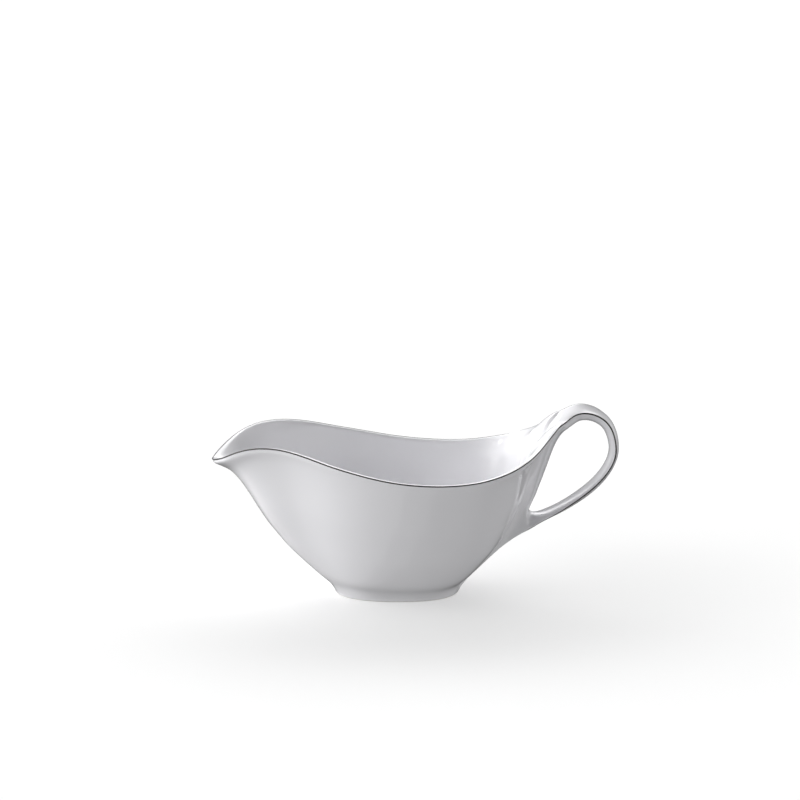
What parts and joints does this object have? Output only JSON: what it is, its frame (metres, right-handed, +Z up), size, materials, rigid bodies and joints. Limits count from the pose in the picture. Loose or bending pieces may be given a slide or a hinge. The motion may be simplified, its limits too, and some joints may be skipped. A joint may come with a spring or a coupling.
{
  "type": "gravy boat",
  "caption": "Leaf-shaped gravy boat with a pouring lip, a looped strap handle that grows out of the rim, a low oval foot and a metal edge line.",
  "frame": {"origin": "middle of the foot's resting edge", "axes": "+Z up out of the bowl, +X towards the handle, the pouring lip at -X, symmetric about the XZ plane"},
  "size_m": [0.2269, 0.1056, 0.1054],
  "materials": {
    "white_glaze": "gloss glaze on white porcelain",
    "foot_glaze": "gloss glaze, wiped bare where it rests",
    "metal_line": "fired platinum lustre, dark and bright"
  },
  "bodies": {
    "root": {"bowl": "white_glaze", "handle": "white_glaze", "foot_ring": "foot_glaze", "rim_line": "metal_line", "handle_line_left": "metal_line", "handle_line_right": "metal_line"}
  },
  "joints": []
}
